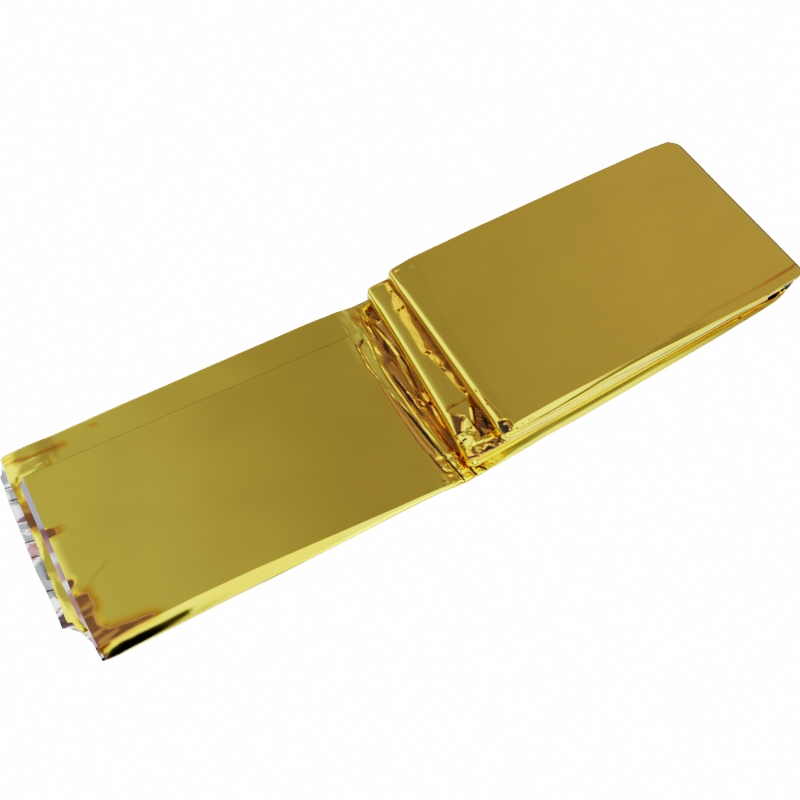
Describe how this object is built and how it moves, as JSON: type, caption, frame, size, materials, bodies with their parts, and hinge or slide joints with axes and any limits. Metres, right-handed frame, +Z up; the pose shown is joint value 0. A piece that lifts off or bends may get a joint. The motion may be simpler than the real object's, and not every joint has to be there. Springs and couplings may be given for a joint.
{
  "type": "emergency foil blanket",
  "caption": "Metallised film blanket folded into a long flat strip, with its end section opened out and the rest in a low zigzag stack.",
  "frame": {"origin": "centre of the footprint, on the surface that the blanket lies on", "axes": "+X along the strip from the opened section to the stack, +Y across the strip to its back side, +Z up"},
  "size_m": [0.2998, 0.0892, 0.016],
  "materials": {
    "film": "thin mirror-bright metallised polyester film, gold on one side and silver on the other, with sharp creases at its folds"
  },
  "bodies": {
    "root": {"foil_blanket": "film"}
  },
  "joints": []
}
